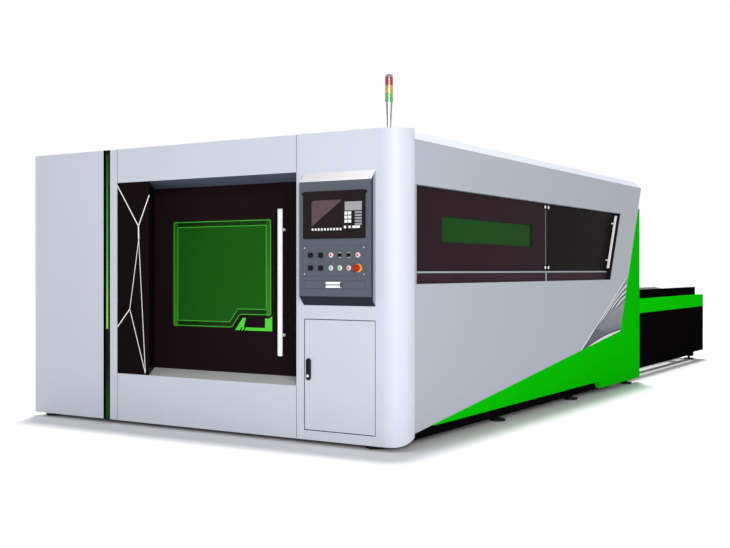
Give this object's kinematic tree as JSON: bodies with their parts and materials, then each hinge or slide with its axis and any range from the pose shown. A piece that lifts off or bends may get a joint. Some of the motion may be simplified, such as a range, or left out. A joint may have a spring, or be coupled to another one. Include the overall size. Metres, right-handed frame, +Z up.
{
  "type": "laser cutting machine",
  "caption": "Enclosed sheet-metal laser cutting machine with a sliding front door, control box, folding side windows, moving gantry and a two-level pallet shuttle table behind it.",
  "frame": {"origin": "on the floor, under the middle of the machine's box", "axes": "+Z up, the front with the control box faces -Y, the shuttle table is at +Y"},
  "size_m": [3.474, 8.639, 2.516],
  "materials": {
    "front_paint": "satin",
    "side_paint": "satin",
    "green_paint": "gloss",
    "dark_paint": "satin",
    "black_paint": "satin",
    "frame_paint": "satin",
    "box_paint": "satin",
    "handle_paint": "gloss",
    "led_green": "lit",
    "dark_glass": "gloss",
    "green_glass": "gloss",
    "screen_black": "gloss",
    "key_grey": "matte",
    "ring_chrome": "polished",
    "black_plastic": "matte",
    "red_plastic": "gloss",
    "green_plastic": "gloss",
    "amber_plastic": "gloss",
    "bare_steel": "ground",
    "feet_rubber": "matte",
    "pole_steel": "polished"
  },
  "bodies": {
    "machine": {"base_frame": "black_paint", "levelling_feet": "feet_rubber", "enclosure_frame": "frame_paint", "left_bay_panel": "front_paint", "led_channel": "black_paint", "led_diffuser": "led_green", "portal_pillar": "front_paint", "portal_lintel": "front_paint", "portal_apron": "front_paint", "portal_jamb": "dark_paint", "control_column": "front_paint", "roof_panel": "front_paint", "side_header_panel": "side_paint", "side_lower_panel": "side_paint", "side_end_panel": "side_paint", "right_skirt": "green_paint", "left_skirt": "green_paint", "left_side_panel": "side_paint", "fixed_glazing": "dark_glass", "rear_portal": "side_paint", "door_track": "frame_paint", "cabinet_box": "frame_paint", "control_box": "box_paint", "screen_bezel": "screen_black", "keypad_keys": "key_grey", "button_rings": "ring_chrome", "tower_pole": "pole_steel", "tower_green": "green_plastic", "tower_amber": "amber_plastic", "tower_red": "red_plastic", "table_frame": "green_paint", "table_base": "black_paint"},
    "front_door": {"door_panel": "dark_paint", "door_window": "green_glass", "door_handle": "handle_paint"},
    "cabinet_door": {"cabinet_door": "front_paint"},
    "cabinet_latch": {"cabinet_latch": "black_plastic"},
    "keyboard_drawer": {"keyboard_drawer": "box_paint"},
    "front_leaf": {"front_leaf": "dark_glass", "leaf_window": "green_glass"},
    "rear_leaf": {"rear_leaf": "dark_glass", "leaf_handle": "handle_paint"},
    "gantry": {"gantry_beam": "frame_paint"},
    "cross_carriage": {"cross_carriage": "black_paint"},
    "cutting_head": {"cutting_head": "bare_steel"},
    "lift_platform": {"lift_platform": "black_paint"},
    "outer_pallet": {"outer_pallet": "bare_steel"},
    "inner_pallet": {"inner_pallet": "bare_steel"},
    "red_button_1": {"red_button_1": "red_plastic"},
    "selector_1": {"selector_1": "black_plastic"},
    "selector_2": {"selector_2": "black_plastic"},
    "red_button_2": {"red_button_2": "red_plastic"},
    "estop_button": {"estop_button": "red_plastic"},
    "red_button_3": {"red_button_3": "red_plastic"},
    "green_button_1": {"green_button_1": "green_plastic"},
    "green_button_2": {"green_button_2": "green_plastic"},
    "black_button_1": {"black_button_1": "black_plastic"},
    "black_button_2": {"black_button_2": "black_plastic"},
    "black_button_3": {"black_button_3": "black_plastic"},
    "black_button_4": {"black_button_4": "black_plastic"}
  },
  "joints": [
    {"name": "front_door_slide", "type": "slide", "parent": "machine", "child": "front_door", "axis": [-1, 0, 0], "range_m": [0, 0.9]},
    {"name": "cabinet_door_hinge", "type": "hinge", "parent": "machine", "child": "cabinet_door", "pos_m": [1.514, -4.2085, 0.4775], "axis": [0, 0, 1], "range_deg": [0, 95]},
    {"name": "cabinet_latch_turn", "type": "hinge", "parent": "cabinet_door", "child": "cabinet_latch", "pos_m": [0.998, -4.2205, 0.571], "axis": [0, -1, 0], "range_deg": [0, 90]},
    {"name": "keyboard_drawer_slide", "type": "slide", "parent": "machine", "child": "keyboard_drawer", "axis": [0, -1, 0], "range_m": [0, 0.25]},
    {"name": "front_leaf_hinge", "type": "hinge", "parent": "machine", "child": "front_leaf", "pos_m": [1.686, -4.0075, 1.475], "axis": [0, 0, -1], "range_deg": [0, 90]},
    {"name": "rear_leaf_fold", "type": "hinge", "parent": "front_leaf", "child": "rear_leaf", "pos_m": [1.6983, -1.6485, 1.475], "axis": [0, 0, -1], "range_deg": [0, 170]},
    {"name": "gantry_travel", "type": "slide", "parent": "machine", "child": "gantry", "axis": [0, 1, 0], "range_m": [0, 3.5]},
    {"name": "cross_travel", "type": "slide", "parent": "gantry", "child": "cross_carriage", "axis": [1, 0, 0], "range_m": [-0.76, 0.76]},
    {"name": "head_travel", "type": "slide", "parent": "cross_carriage", "child": "cutting_head", "axis": [0, 0, 1], "range_m": [-0.2, 0]},
    {"name": "lift_travel", "type": "slide", "parent": "machine", "child": "lift_platform", "axis": [0, 0, 1], "range_m": [-0.18, 0]},
    {"name": "outer_pallet_travel", "type": "slide", "parent": "lift_platform", "child": "outer_pallet", "axis": [0, -1, 0], "range_m": [0, 4.22]},
    {"name": "inner_pallet_travel", "type": "slide", "parent": "machine", "child": "inner_pallet", "axis": [0, 1, 0], "range_m": [0, 4.22]},
    {"name": "red_button_1_push", "type": "slide", "parent": "machine", "child": "red_button_1", "axis": [0, 1, 0], "range_m": [0, 0.004], "stiffness_N_per_m": 900},
    {"name": "selector_1_turn", "type": "hinge", "parent": "machine", "child": "selector_1", "pos_m": [1.362, -4.2755, 1.294], "axis": [0, 1, 0], "range_deg": [-45, 45]},
    {"name": "selector_2_turn", "type": "hinge", "parent": "machine", "child": "selector_2", "pos_m": [1.291, -4.2755, 1.294], "axis": [0, 1, 0], "range_deg": [-45, 45]},
    {"name": "red_button_2_push", "type": "slide", "parent": "machine", "child": "red_button_2", "axis": [0, 1, 0], "range_m": [0, 0.004], "stiffness_N_per_m": 900},
    {"name": "estop_button_push", "type": "slide", "parent": "machine", "child": "estop_button", "axis": [0, 1, 0], "range_m": [0, 0.004], "stiffness_N_per_m": 900},
    {"name": "red_button_3_push", "type": "slide", "parent": "machine", "child": "red_button_3", "axis": [0, 1, 0], "range_m": [0, 0.004], "stiffness_N_per_m": 900},
    {"name": "green_button_1_push", "type": "slide", "parent": "machine", "child": "green_button_1", "axis": [0, 1, 0], "range_m": [0, 0.004], "stiffness_N_per_m": 900},
    {"name": "green_button_2_push", "type": "slide", "parent": "machine", "child": "green_button_2", "axis": [0, 1, 0], "range_m": [0, 0.004], "stiffness_N_per_m": 900},
    {"name": "black_button_1_push", "type": "slide", "parent": "machine", "child": "black_button_1", "axis": [0, 1, 0], "range_m": [0, 0.004], "stiffness_N_per_m": 900},
    {"name": "black_button_2_push", "type": "slide", "parent": "machine", "child": "black_button_2", "axis": [0, 1, 0], "range_m": [0, 0.004], "stiffness_N_per_m": 900},
    {"name": "black_button_3_push", "type": "slide", "parent": "machine", "child": "black_button_3", "axis": [0, 1, 0], "range_m": [0, 0.004], "stiffness_N_per_m": 900},
    {"name": "black_button_4_push", "type": "slide", "parent": "machine", "child": "black_button_4", "axis": [0, 1, 0], "range_m": [0, 0.004], "stiffness_N_per_m": 900}
  ]
}
